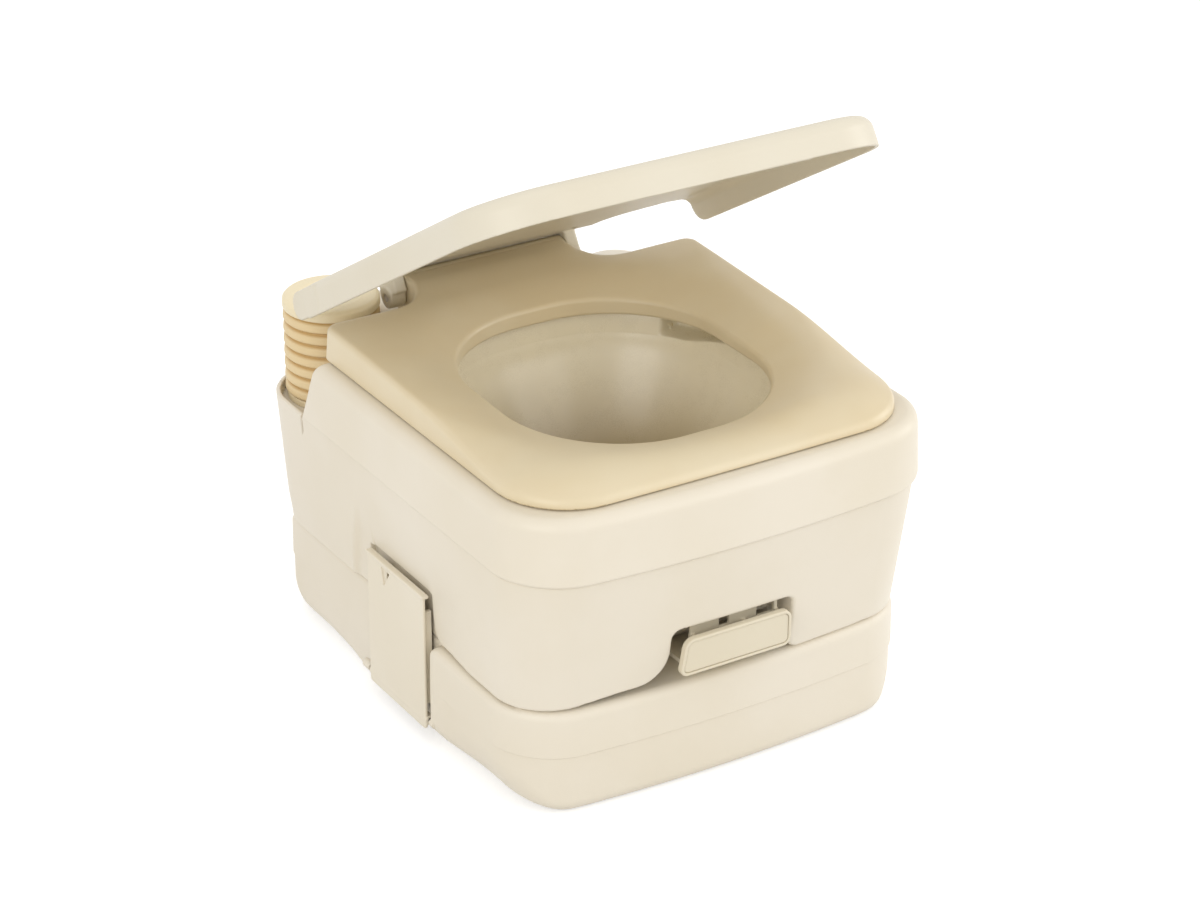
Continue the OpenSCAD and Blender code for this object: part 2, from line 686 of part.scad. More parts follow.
// Hinge block at the rear of the seat, with a sweep to each rear corner
module seat_block() {
    at(0, 0, seat_z + 1) linear_extrude(hinge_z + nose_r - seat_z - 3)
        polygon([[-hub_in + 1, hinge_y], [-hub_in + 1, seat_yr + 9], [-hub_in - 8, seat_yr + 6],
                 [-hub_in - 30, seat_yr - 2], [-hub_in - 30, seat_yr - 6], [hub_in + 30, seat_yr - 6],
                 [hub_in + 30, seat_yr - 2], [hub_in + 8, seat_yr + 6], [hub_in - 1, seat_yr + 9], [hub_in - 1, hinge_y]]);
    block(-hub_in + 1, hub_in - 1, seat_yr - 8, hinge_y, hinge_z, hinge_z + nose_r);
    x_bar(-hub_in + 1, hub_in - 1, hinge_y, hinge_z, nose_r - 0.9);
}

module seat() {
    color(plastic_seat) difference() {
        union() {
            seat_shell();
            seat_block();
        }
        x_bar(-hub_in - 1, -hub_in + 40, hinge_y, hinge_z, pin_r + pin_gap);
        x_bar(hub_in - 40, hub_in + 1, hinge_y, hinge_z, pin_r + pin_gap);
    }
}

module seat_pads() {
    color(dark_rubber) for (x = [-1, 1], y = [seat_yf + 60, seat_yr - 50])
        at(x * (seat_w / 2 - 12), y, ledge_z + 0.35) cylinder(r = 3.5, h = 7);
}

module hinge_pins() {
    color(steel) {
        x_bar(-hub_out, -hub_in + 39, hinge_y, hinge_z, pin_r);
        x_bar(hub_in - 39, hub_out, hinge_y, hinge_z, pin_r);
    }
}

// Lid, drawn closed and then turned open about the hinge

module lid_shell() {
    z = lid_z;
    loft([ring(sec_lid, 104, z + 24.2), ring(sec_lid, 60, z + 23.2), ring(sec_lid, 24, z + 21.4),
          ring(sec_lid, 9, z + 19.4), ring(sec_lid, 5, z + 16.4), ring(sec_lid, wall + 0.4, z + 11),
          ring(sec_lid, wall - 0.2, z), ring(sec_lid, 0, z), ring(sec_lid, 0.6, z + 12),
          ring(sec_lid, 2.6, z + 19), ring(sec_lid, 7, z + 22.4), ring(sec_lid, 22, z + 24.2),
          ring(sec_lid, 60, z + 26), ring(sec_lid, 104, z + 27)]);
}

module lid_closed() {
    top = lid_z + 24;
    difference() {
        union() {
            difference() {
                lid_shell();
                block(-hub_in - 0.4, hub_in + 0.4, hinge_y - 36, hinge_y, lid_z - 1, hinge_z + nose_r + 2);
                for (x = [-body_w, hub_out + 2]) translate([x, hinge_y - 47, lid_z - 2]) rotate([-52, 0, 0])
                    block(0, body_w - hub_out - 2, 0, 60, -60, 0);
                at(hub_out, hinge_y, lid_z - 5) linear_extrude(60)
                    polygon([[1, 0], [1, -19], [8, -30], [22, -38], [42, -44], [68, -50], [118, -55], [118, 0]]);
            }
            block(-hub_out, hub_out, hinge_y - 34, hinge_y - 6, hinge_z + nose_r + 2, hinge_z + nose_r + 5);
            for (side = [-1, 1]) {
                x0 = side < 0 ? -hub_out : hub_in;
                block(x0, x0 + hub_out - hub_in, hinge_y - 30, hinge_y, hinge_z - 2, hinge_z + nose_r + 3);
                x_bar(x0, x0 + hub_out - hub_in, hinge_y, hinge_z, 7);
            }
        }
        x_bar(-hub_out - 1, hub_out + 1, hinge_y, hinge_z, pin_r + pin_gap);
    }
}

module lid() {
    color(plastic) translate([0, hinge_y, hinge_z]) rotate([-lid_angle, 0, 0])
        translate([0, -hinge_y, -hinge_z]) lid_closed();
}

waste_tank();
valve_housing();
valve_seal_lower();
valve_seal_upper();
valve_screws();
valve_blade();
valve_handle();
handle_panel();
latch_left();
latch_right();
latch_pins();
pour_spout();
spout_seal();
spout_cap();
vent_bushing();
vent_button();
flush_tank();
deck_cover();
bowl();
flush_nozzle();
flush_tube();
pickup_tube();
pump_collar();
pump_valve();
bellows();
bellows_cap();
filler_neck();
fill_seal();
fill_cap();
seat();
seat_pads();
hinge_pins();
lid();
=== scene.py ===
"""Looks of the portable toilet: moulded shells, bellows pump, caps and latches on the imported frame.

Lengths in the shape functions are millimetres in the frame's own axes: -Y front, +X right, +Z up.
"""

import math
from functools import reduce

import bpy
import numpy as np
from mathutils import Matrix, Vector


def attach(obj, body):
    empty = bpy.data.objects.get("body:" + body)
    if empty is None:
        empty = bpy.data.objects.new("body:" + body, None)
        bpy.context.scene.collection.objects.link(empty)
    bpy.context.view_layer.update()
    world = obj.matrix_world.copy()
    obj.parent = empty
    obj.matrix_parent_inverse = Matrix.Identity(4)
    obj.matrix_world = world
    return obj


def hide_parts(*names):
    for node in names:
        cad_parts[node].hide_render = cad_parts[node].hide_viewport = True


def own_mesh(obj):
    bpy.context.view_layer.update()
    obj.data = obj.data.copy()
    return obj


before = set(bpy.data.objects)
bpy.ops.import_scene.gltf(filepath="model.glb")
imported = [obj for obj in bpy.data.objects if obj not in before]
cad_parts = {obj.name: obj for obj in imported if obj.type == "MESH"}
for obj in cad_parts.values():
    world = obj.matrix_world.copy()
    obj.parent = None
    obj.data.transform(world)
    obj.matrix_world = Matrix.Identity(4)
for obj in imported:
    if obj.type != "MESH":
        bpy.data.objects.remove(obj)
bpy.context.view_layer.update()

# outlines of the construction: half width, front, rear, front corner radius, bow, rear corner radius
DECK = (171, -207, 207, 49, 12, 49)
FLUSH_TOP = (168.6, -204.2, 204.6, 47, 12, 47)
FLUSH_LOW = (161.6, -188.5, 197, 42, 11, 42)
WASTE = (164.8, -190, 198, 46, 11, 46)
SEAT = (157, -189.5, 113, 54, 1.5, 10)
LID = (165, -196, 128, 56, 2, 22)
LID_SIDES = (165, -196, 175, 56, 2, 22)

# heights
STEP_Z = 46  # step round the waste tank, whose sides stand proud above it
SPLIT_Z = 81  # waste tank below, flush tank above
FLOOR_Z = 104  # underside of the flush tank's floor
SHELF_Z = 179  # shelves in the rear corners
DECK_Z = 187  # flush tank below, deck above
LEDGE_Z = 236  # top of the deck
SEAT_Z = 237  # underside of the seat
LID_Z = 245  # lower edge of the closed lid

# middles of pieces, as x and y
OUTLET = (0, -25)
PUMP = (-122, 165.5)
FILL = (124, 165.5)

# middles of pieces that lie along y, as x and z
SPOUT = (88, 42)
VENT = (-88, 60)
JET = (99, 221)
PIN = (162.5, 17)  # pin of a latch, its x counted from the middle to either side

# other places
OPEN_Y = -31  # middle of the opening in deck and seat
SHELF_X, SHELF_Y = 79, 129  # inner side and front of the rear shelves
POCKET_X = 155.5  # wall behind a latch
REAR_Y = WASTE[2]
HINGE_Y, HINGE_Z = 155, 250
BLOCK_X = 68.6  # half width of the seat's hinge block
STRAP_X = 82  # half width of the lid's hinge strap
RIDGE_R, FOLD_DEPTH = 36, 3.4  # ridges of the bellows, and how deep the folds between them are
LID_ANGLE = math.radians(-31.5)

# openings, as half width and half depth
DECK_OPENING = (113.5, 121.5)
SEAT_OPENING = (101.5, 110.5)
OVAL_CORNER = 0.88  # corner radius of an opening, as a share of its smaller half


# distances: below zero inside the plastic

def rise(v, low, high):
    """0 below low, 1 above high, soft between."""
    t = np.clip((v - low) / (high - low), 0, 1)
    return t * t * (3 - 2 * t)


def overlap(*parts):
    """Where all parts overlap, its edges sharp."""
    return reduce(np.maximum, parts)


def union(*parts):
    """All parts together, the edges between them sharp."""
    return reduce(np.minimum, parts)


def both(a, b, r):
    """Where a and b overlap, with the edge between them rounded by r."""
    if r == 0:
        return np.maximum(a, b)
    return np.minimum(np.maximum(a, b), -r) + np.hypot(np.maximum(a + r, 0), np.maximum(b + r, 0))


def either(a, b, r):
    """a and b joined, with a fillet of radius r where they meet."""
    return np.maximum(np.minimum(a, b), r) - np.hypot(np.maximum(r - a, 0), np.maximum(r - b, 0))


def less(a, b, r=0):
    """a with b cut out of it, the rim of the cut rounded by r."""
    return both(a, -b, r)


def plan(x, y, half, front, rear, front_r, bow, rear_r):
    """Upright wall over a rounded rectangle whose front is bowed forward."""
    mid = (front + rear) / 2
    k = bow * np.minimum((x / half) ** 2, 1.1) / (mid - front)
    y = np.where(y < mid, (y - k * mid) / (1 - k), y)
    r = np.where(y < mid, front_r, rear_r)
    qx = np.abs(x) - half + r
    qy = np.abs(y - mid) - (rear - front) / 2 + r
    return np.hypot(np.maximum(qx, 0), np.maximum(qy, 0)) + np.minimum(np.maximum(qx, qy), 0) - r


def oval(x, y, a, b, middle):
    """Upright wall over an oval with half width a and half depth b."""
    r = OVAL_CORNER * min(a, b)
    return plan(x, y, a, middle - b, middle + b, r, 0, r)


def span(v, low, high):
    """Slab between two values."""
    return np.maximum(low - v, v - high)


def block(x, y, z, x0, x1, y0, y1, z0, z1, r):
    """Box between two values on each axis, its edges rounded by r."""
    return both(both(span(x, x0, x1), span(y, y0, y1), r), span(z, z0, z1), r)


def rod(u, v, cu, cv, r):
    """Round bar across the plane of u and v."""
    return np.hypot(u - cu, v - cv) - r


# skins: quads on the zero surface of a distance

def rows(low, high, step, *fine):
    """Grid rows from low to high, closer together in and near each fine span (from, to, step)."""
    out, v = [], low
    while v < high:
        out.append(v)
        v += min([step] + [s + 0.3 * max(a - v, v - b, 0) for a, b, s in fine])
    return np.array(out + [v])


def corners(field, cell, k):
    """Values of a field at corner k of each cell, and where that corner is in the field."""
    i = cell + np.array([k >> 2 & 1, k >> 1 & 1, k & 1])
    return field[i[:, 0], i[:, 1], i[:, 2]], i


def net(field, axes):
    """Points and quads of a surface net through the sign changes of a field on grid rows."""
    inside = field < 0
    count = sum(
        inside[a:a - 1 or None, b:b - 1 or None, c:c - 1 or None].astype(np.int8)
        for a in (0, 1) for b in (0, 1) for c in (0, 1)
    )
    live = (count > 0) & (count < 8)
    cell = np.argwhere(live)
    number = np.full(live.shape, -1, np.int64)
    number[live] = np.arange(len(cell))
    value, place = [], []
    for k in range(8):
        v, i = corners(field, cell, k)
        value.append(v)
        place.append(np.stack([axes[n][i[:, n]] for n in range(3)], 1))
    total = np.zeros((len(cell), 3))
    hits = np.zeros((len(cell), 1))
    for a in range(8):
        for bit in (1, 2, 4):
            if a & bit:
                continue
            b = a | bit
            cross = (value[a] < 0) != (value[b] < 0)
            t = np.where(cross, value[a] / np.where(cross, value[a] - value[b], 1), 0)[:, None]
            total += np.where(cross[:, None], place[a] + t * (place[b] - place[a]), 0)
            hits += cross[:, None]
    quads = []
    for n in range(3):
        u, v = (n + 1) % 3, (n + 2) % 3
        first = np.take(inside, np.arange(inside.shape[n] - 1), n)
        change = first != np.take(inside, np.arange(1, inside.shape[n]), n)
        edge = np.argwhere(change)
        edge = edge[(edge[:, u] > 0) & (edge[:, v] > 0)
                    & (edge[:, u] < inside.shape[u] - 1) & (edge[:, v] < inside.shape[v] - 1)]
        ring = []
        for du, dv in ((-1, -1), (0, -1), (0, 0), (-1, 0)):
            i = edge.copy()
            i[:, u] += du
            i[:, v] += dv
            ring.append(number[i[:, 0], i[:, 1], i[:, 2]])
        ring = np.stack(ring, 1)
        out = first[edge[:, 0], edge[:, 1], edge[:, 2]]
        quads.append(np.where(out[:, None], ring, ring[:, ::-1]))
    return total / hits, np.concatenate(quads)


def slope(form, p, h):
    """Gradient of a distance at points."""
    g = np.empty_like(p)
    for n in range(3):
        e = np.zeros(3)
        e[n] = h
        g[:, n] = (form(*(p + e).T) - form(*(p - e).T)) / (2 * h)
    return g


def build(name, points, faces, normals=None, turn=None):
    """Mesh object from millimetre points; faces all have the same number of corners."""
    if turn is not None:
        points = points @ turn[0].T + turn[1]
        normals = None if normals is None else normals @ turn[0].T
    mesh = bpy.data.meshes.new(name)
    count, size = faces.shape
    mesh.vertices.add(len(points))
    mesh.vertices.foreach_set("co", (points / 1000).astype(np.float32).ravel())
    mesh.loops.add(count * size)
    mesh.loops.foreach_set("vertex_index", faces.astype(np.int32).ravel())
    mesh.polygons.add(count)
    mesh.polygons.foreach_set("loop_start", np.arange(0, count * size, size, dtype=np.int32))
    mesh.polygons.foreach_set("use_smooth", np.ones(count, bool))
    mesh.update(calc_edges=True)
    if normals is not None:
        mesh.normals_split_custom_set_from_vertices(normals.tolist())
    obj = bpy.data.objects.new(name, mesh)
    bpy.context.scene.collection.objects.link(obj)
    return obj


ROWS_AT_A_TIME = 12  # keeps the memory that a large piece needs low
REACHES = (1.2, 0.6, 0.3)  # longest move of a point in each pass that draws it onto the surface
DRAW_STEP, SHADE_STEP = 0.04, 0.22  # half the length over which a slope is taken


def skin(name, form, xs, ys, zs, turn=None):
    """Moulded piece: net over the rows, drawn onto the surface, shaded by the surface's own slope."""
    field = np.concatenate([
        np.broadcast_to(form(part[:, None, None], ys[None, :, None], zs[None, None, :]),
                        (len(part), len(ys), len(zs)))
        for part in np.array_split(xs, max(1, len(xs) // ROWS_AT_A_TIME))
    ])
    points, faces = net(field, (xs, ys, zs))
    for reach in REACHES:
        g = slope(form, points, DRAW_STEP)
        d = form(*points.T)[:, None] / np.maximum((g * g).sum(1, keepdims=True), 0.2)
        points = points - np.clip(d * g, -reach, reach)
    g = slope(form, points, SHADE_STEP)
    g /= np.maximum(np.linalg.norm(g, axis=1, keepdims=True), 1e-6)
    return build(name, points, faces, g, turn)


def rings(name, stack, closed=False):
    """Skin through a stack of point rings; closed joins the last ring to the first."""
    stack = np.asarray(stack, float)
    m, n = stack.shape[:2]
    i = np.arange(n)
    j = np.arange(m if closed else m - 1)
    a = (j[:, None] * n + i).ravel()
    b = (j[:, None] * n + (i + 1) % n).ravel()
    c = ((j[:, None] + 1) % m * n + (i + 1) % n).ravel()
    d = ((j[:, None] + 1) % m * n + i).ravel()
    return build(name, stack.reshape(-1, 3), np.stack([a, b, c, d], 1))


def smooth_line(points, steps):
    """Dense points on a curve through the given ones."""
    p = np.asarray(points, float)
    p = np.concatenate([[2 * p[0] - p[1]], p, [2 * p[-1] - p[-2]]])
    t = np.linspace(0, 1, steps, endpoint=False)[:, None]
    out = []
    for a, b, c, d in zip(p[:-3], p[1:-2], p[2:-1], p[3:]):
        square = (2 * a - 5 * b + 4 * c - d) * t ** 2
        cube = (3 * b - a - 3 * c + d) * t ** 3
        out.append(0.5 * (2 * b + (c - a) * t + square + cube))
    return np.concatenate(out + [p[-2:-1]])


def fillets(points, radius, steps=5):
    """Profile of a turned piece with each corner between its two ends rounded."""
    p = np.asarray(points, float)
    out = [p[0]]
    for a, b, c in zip(p[:-2], p[1:-1], p[2:]):
        u, v = a - b, c - b
        lu, lv = np.linalg.norm(u), np.linalg.norm(v)
        cut = min(radius, lu * 0.45, lv * 0.45)
        s, e = b + u / lu * cut, b + v / lv * cut
        for t in np.linspace(0, 1, steps):
            out.append((1 - t) ** 2 * s + 2 * t * (1 - t) * b + t * t * e)
    return np.array(out + [p[-1]])


TIP = 0.01  # smallest radius of a turned piece, on its axis


def lathe(name, profile, centre, along="z", turns=128, swell=None, closed=False):
    """Turned piece from (radius, height) points; swell(angle, radius, height) adds to the radius."""
    angle = np.linspace(0, 2 * math.pi, turns, endpoint=False)
    stack = []
    for r, h in profile:
        wide = np.maximum(r if swell is None else r + swell(angle, r, h), TIP)
        u, v = wide * np.cos(angle), wide * np.sin(angle)
        level = np.full(turns, float(h))
        if along == "z":
            ring = (centre[0] + u, centre[1] + v, level)
        else:
            ring = (centre[0] + u, level, centre[1] - v)
        stack.append(np.stack(ring, 1))
    return rings(name, stack, closed)


# finishes

def paint(code):
    """Colour of a hex code as the shader's own numbers."""
    parts = [int(code[i:i + 2], 16) / 255 for i in (0, 2, 4)]
    return (*(c / 12.92 if c < 0.04045 else ((c + 0.055) / 1.055) ** 2.4 for c in parts), 1.0)


class Signal:
    """A value that varies over a finish; arithmetic on it adds Math nodes."""

    def __init__(self, finish, socket):
        self.finish, self.socket = finish, socket

    def maths(self, operation, *values):
        """Math node on values or signals."""
        return self.finish.node("ShaderNodeMath", {"operation": operation}, dict(enumerate(values)), "Value")

    def __add__(self, other):
        return self.maths("ADD", self, other)

    def __sub__(self, other):
        return self.maths("SUBTRACT", self, other)

    def __rsub__(self, other):
        return self.maths("SUBTRACT", other, self)

    def __mul__(self, other):
        return self.maths("MULTIPLY", self, other)

    def __pow__(self, other):
        return self.maths("POWER", self, other)

    def __rpow__(self, other):
        return self.maths("POWER", other, self)

    __radd__, __rmul__ = __add__, __mul__


class Finish:
    """The nodes of a procedural material or of the world."""

    def __init__(self, owner):
        owner.use_nodes = True
        self.owner, self.tree = owner, owner.node_tree
        self.tree.nodes.clear()

    def node(self, kind, settings=None, sockets=None, out=0):
        """Node of a kind with its settings, then the values or links of its sockets; out is its output."""
        made = self.tree.nodes.new(kind)
        for key, value in (settings or {}).items():
            setattr(made, key, value)
        for key, value in (sockets or {}).items():
            if isinstance(value, Signal):
                self.tree.links.new(value.socket, made.inputs[key])
            else:
                made.inputs[key].default_value = value
        return Signal(self, made.outputs[out]) if len(made.outputs) else made

    def place(self):
        """Where a point is on the object."""
        return self.node("ShaderNodeTexCoord", out="Object")

    def part(self, where, axis):
        """One coordinate of a place, in metres."""
        return self.node("ShaderNodeSeparateXYZ", {}, {"Vector": where}, axis)

    def noise(self, scale, detail, where):
        """Cloudy value from 0 to 1."""
        return self.node("ShaderNodeTexNoise", {}, {"Vector": where, "Scale": scale, "Detail": detail}, "Fac")

    def mix(self, share, a, b):
        """Colour between a and b."""
        return self.node("ShaderNodeMix", {"data_type": "RGBA"}, {"Factor": share, 6: a, 7: b}, 2)

    def within(self, value, low, high):
        """0 below low, 1 above high, soft between."""
        return self.node("ShaderNodeMapRange", {"interpolation_type": "SMOOTHSTEP"},
                         {"Value": value, "From Min": low, "From Max": high}, "Result")

    def bump(self, height, strength, depth, **below):
        """Normal of a fine relief; below is the Normal that it lies on."""
        sockets = {"Strength": strength, "Distance": depth, "Height": height, **below}
        return self.node("ShaderNodeBump", {}, sockets, "Normal")

    def close(self, shader, output="ShaderNodeOutputMaterial"):
        """Link the finished shader to the output."""
        self.node(output, {}, {"Surface": shader})
        return self.owner


# relief of moulded plastic in metres, and how far its roughness drifts
GRAIN_DEPTH, WAVE_DEPTH = 0.00004, 0.00022
DRIFT = 0.06


def moulded(name, light, deep, roughness, coat=0.0, extra=None):
    """Moulded plastic: cloudy tone, fine grain and a roughness that drifts."""
    f = Finish(bpy.data.materials.new(name))
    where = f.place()
    cloud = f.noise(7.0, 4.0, where)
    fine = f.noise(1400.0, 2.0, where)
    broad = f.noise(45.0, 3.0, where)
    tone = f.mix(f.within(cloud, 0.32, 0.68), paint(deep), paint(light))
    if extra is not None:
        tone = extra(f, where, tone)
    rough = roughness + (broad - 0.5) * DRIFT + (fine - 0.5) * 0.05
    wave = f.bump(broad, 0.35, WAVE_DEPTH, Normal=f.bump(fine, 0.5, GRAIN_DEPTH))
    return f.close(f.node("ShaderNodeBsdfPrincipled", {}, {
        "Base Color": tone, "Roughness": rough, "Normal": wave,
        "IOR": 1.5, "Coat Weight": coat, "Coat Roughness": 0.25}))


def brushed_steel(name):
    """Bright pins and screws with a fine satin grain."""
    f = Finish(bpy.data.materials.new(name))
    fine = f.noise(900.0, 2.0, f.place())
    tone = f.mix(fine, paint("A9A9AC"), paint("C9C9CC"))
    return f.close(f.node("ShaderNodeBsdfPrincipled", {}, {
        "Base Color": tone, "Metallic": 1.0, "Roughness": 0.28 + fine * 0.12,
        "Normal": f.bump(fine, 0.3, 0.00003)}))


def painted_fold_shade(f, where, tone):
    """Painted light: the folds between the bellows' ridges are painted darker as shade, so the ridges read
    paler as a painted highlight.
    """
    x = f.part(where, "X") - PUMP[0] / 1000
    y = f.part(where, "Y") - PUMP[1] / 1000
    radius = (x * x + y * y) ** 0.5
    return f.mix(f.within(radius, (RIDGE_R - FOLD_DEPTH) / 1000, 0.0352), paint("CDAC74"), tone)


def painted_bowl_shade(f, where, tone):
    """Painted shade: the bowl's colour darkens low in the bowl, towards its outlet."""
    return f.mix(f.within(f.part(where, "Z"), 0.11, 0.212), paint("9C8654"), tone)


cream = moulded("cream_shell", "E8E0D0", "E4DBC8", 0.42)
cream_lid = moulded("cream_lid", "E0D9C7", "DDD5C1", 0.42)
cream_grip = moulded("cream_grip", "E0D7C1", "DCD2BA", 0.42)
cream_latch = moulded("cream_latch", "E9E1CF", "E5DCC8", 0.42)
tan_seat = moulded("tan_seat", "E2D5B7", "DDCCA8", 0.36, coat=0.15)
# the bowl's finish paints shade low in the bowl, darker towards its outlet
tan_bowl = moulded("tan_bowl", "F4EBD4", "F0E6CA", 0.28, coat=0.5, extra=painted_bowl_shade)
# the bellows' finish paints shade into the folds, leaving the ridges paler as a painted highlight
ochre_bellows = moulded("ochre_bellows", "E6D0A4", "E0C89A", 0.52, extra=painted_fold_shade)
pale_cap = moulded("pale_pump_cap", "F0E3C2", "EBDDBA", 0.46)
dark_seal = moulded("dark_seal", "3A3733", "2E2B28", 0.62)
tube_finish = moulded("soft_tube", "DCCBA0", "D4C296", 0.5)
steel = brushed_steel("pin_steel")


def wear(obj, material):
    """Give a piece its finish."""
    obj.data.materials.clear()
    obj.data.materials.append(material)


def fit(obj, material, slot, body, *nodes):
    """Finish a new piece, let it ride and hide the nodes it stands for."""
    wear(obj, material)
    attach(obj, body)
    if nodes:
        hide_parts(*nodes)


# waste tank

# lower edge of the sides: a plane that slants inward, as shares of x and z and its distance
SLANT_X, SLANT_Z, SLANT_AT = 0.697, 0.717, 105


def waste_form(x, y, z):
    """Waste tank: a step round it, a pocket behind each latch, and openings for valve, spout and vent."""
    ax = np.abs(x)
    beside = rise(np.abs(y + 4.5), 56, 84)
    side = plan(x, y, *WASTE)
    side = side + 1.3 * beside * (1 - rise(z, STEP_Z - 0.4, STEP_Z + 0.4)) + 0.5 * rise(z, STEP_Z, SPLIT_Z)
    d = both(both(side, z - SPLIT_Z, 7), -z, 10)
    away = rise(np.abs(y - 1), 56, 130)
    slant = SLANT_X * ax - SLANT_Z * z - SLANT_AT + 3.4 * away
    d = both(d, slant, 5) * (1 - away) + both(d, slant, 14) * away
    valve_seat = overlap(rod(x, y, *OUTLET, 52), span(z, 70, 88))
    d = union(d, valve_seat)
    front_wall = both(y + 49.5, z - SPLIT_Z, 9)
    rear_wall = both(41.5 - y, z - SPLIT_Z, 4)
    d = both(d, union(ax - POCKET_X, z - 8, front_wall), 3)
    d = less(d, overlap(POCKET_X - ax, -rear_wall, 8 - z, -20 - y), 7)
    pin_ends = union(span(y, 40.4, 50.5), span(y, -55, -49.2))
    d = either(d, overlap(rod(ax, z, *PIN, 3.3), pin_ends), 1)
    hollow = overlap(side + 8, span(z, 6, 74), ax - 120 - 0.6 * z, y - 160, ax - 147.5)
    outlet = overlap(rod(x, y, *OUTLET, 40), 60 - z)
    d = less(less(d, hollow), outlet, 1)
    cap_recess = overlap(rod(x, z, *SPOUT, 31), REAR_Y - 22 - y)
    spout_bore = overlap(rod(x, z, *SPOUT, 15), REAR_Y - 50 - y)
    vent_bore = overlap(rod(x, z, *VENT, 8.5), REAR_Y - 27 - y)
    return less(less(less(d, cap_recess, 1.5), spout_bore, 0.5), vent_bore, 0.5)


waste_tank = skin(
    "waste_tank_shell", waste_form,
    rows(-168, 168, 4, (-168, -152, 1.6), (152, 168, 1.6), (-46, 46, 3)),
    rows(-194, 202, 4, (-194, -178, 2), (-64, -44, 1), (32, 50, 1), (172, 202, 2)),
    rows(-2, 91, 3, (-2, 40, 2), (STEP_Z - 2, STEP_Z + 2, 0.5), (66, 90, 1.2)))
fit(waste_tank, cream, "shell", "base", "waste_tank")


# flush tank

def notch_form(x, y, z):
    """Plastic round the arched opening for the grip, with the plate behind it."""
    sill = SPLIT_Z + 6.5 * rise(x, -165, -75)
    left = both(x + 53, sill - z, 25)
    right = both(46 - x, SPLIT_Z - z, 11)
    ring = either(either(left, right, 8), 128 - z, 7)
    return union(ring, overlap(-163 - y, SPLIT_Z - z))


def latch_pocket(x, y, z):
    """Plastic round the space behind a latch."""
    front = both(y + 49, SPLIT_Z - z, 13)
    rear = both(40.5 - y, SPLIT_Z - z, 3)
    ring = either(either(front, rear, 1), 119.7 - z, 1)
    return union(ring, np.abs(x) - POCKET_X)


def flush_form(x, y, z):
    """Flush tank: sides that widen upwards, stepped beside each latch, over a floor with the outlet."""
    ax = np.abs(x)
    t = np.clip((z - SPLIT_Z) / (DECK_Z - SPLIT_Z), -0.1, 1.1)
    side = plan(x, y, *(low + (high - low) * t for low, high in zip(FLUSH_LOW, FLUSH_TOP)))
    flank = rise(ax, 100, 140)
    step_y = 52 + (140 - z) * 0.24
    before = 1 - rise(y, step_y - 3.5, step_y + 3.5)
    side = side + 3.4 * before * rise(y, -110, -56) * (1 - rise(z, 116, 160)) * flank
    side = side + 1.1 * rise(y, step_y, step_y + 6) * (1 - rise(z, 84, 108)) * flank
    scoop = np.clip((141 - z) / 20.5, 0, 1) ** 2 * rise(-y, -36, -34.5) * rise(y, -52, -40) * flank
    side = side + 1.4 * scoop * (z > 118)
    d = both(both(side, SPLIT_Z - z, 2.5), z - DECK_Z, 1.8)
    d = both(d, latch_pocket(x, y, z), 1.2)
    corner = overlap(SHELF_Y - y, SHELF_X - ax, SHELF_Z - z)
    d = less(d, overlap(corner, side + 3.7), 0.8)
    upper_hollow = overlap(side + 9, ax - 149.5, -157 - y, FLOOR_Z + 3 - z, 6 - corner)
    lower_hollow = overlap(side + 9, ax - 147.5, z - FLOOR_Z)
    outlet = overlap(rod(x, y, *OUTLET, 44.4), span(z, 100, 112))
    d = less(less(less(d, upper_hollow), lower_hollow), outlet)
    slit = block(ax, y, z, 160, 180, 128.2, 129.8, 171, 190, 0.3)
    return less(both(d, notch_form(x, y, z), 3), slit, 0.3)


flush_tank = skin(
    "flush_tank_shell", flush_form,
    rows(-172, 172, 4, (-172, -154, 1.8), (-154, -122, 3), (-80, -40, 2),
         (34, 58, 2), (122, 154, 3), (154, 172, 1.8), (76, 82, 2)),
    rows(-209, 208, 4, (-209, -190, 2), (-168, -160, 1.8), (-62, -40, 1.4),
         (32, 42, 1), (126, 131, 0.9), (192, 208, 2)),
    rows(78, 190, 3.5, (78, 94, 1.6), (100, 110, 1.6), (116, 130, 1.2), (174, 190, 1.4)))
fit(flush_tank, cream, "shell", "base", "flush_tank")


# deck

def corner_space(x, y, z):
    """Open space over each rear shelf, with its sloping front."""
    sloped = ((SHELF_Y - y) * 67 + (178 - z) * 25) / 71.5
    return both(SHELF_X - np.abs(x), sloped, 5)


def deck_form(x, y, z):
    """Deck: a hollow cover with soft upper edges, open under the seat."""
    lean = np.interp(z, [DECK_Z, DECK_Z + 2, 222, LEDGE_Z], [0.8, 0, 1.6, 2.6])
    side = plan(x, y, *DECK) + lean
    space = corner_space(x, y, z)
    d = less(both(both(side, z - LEDGE_Z, 9), DECK_Z - z, 1.6), space, 5)
    hollow = overlap(side + 6, z - 232, 6 - space)
    return less(less(d, hollow), oval(x, y, *DECK_OPENING, OPEN_Y), 1.5)


deck = skin(
    "deck_shell", deck_form,
    rows(-174, 174, 4, (-174, -150, 2), (150, 174, 2), (70, 90, 1.6), (-90, -70, 1.6)),
    rows(-210, 210, 4, (-210, -180, 2), (98, 140, 1.6), (196, 210, 2)),
    rows(184, 239, 3, (184, 192, 1), (226, 239, 1.1)))
fit(deck, cream, "shell", "base", "deck_cover")


# bowl

def oval_ring(a, b, middle, z, n=110):
    """Points round an oval at height z, n on each quarter."""
    r = OVAL_CORNER * min(a, b)
    t = np.linspace(0, math.pi / 2, n)
    out = []
    for q, (sx, sy) in enumerate(((1, 1), (-1, 1), (-1, -1), (1, -1))):
        u = t + q * math.pi / 2
        quarter = (sx * (a - r) + r * np.cos(u), middle + sy * (b - r) + r * np.sin(u), np.full(n, z))
        out.append(np.stack(quarter, 1))
    return np.concatenate(out)


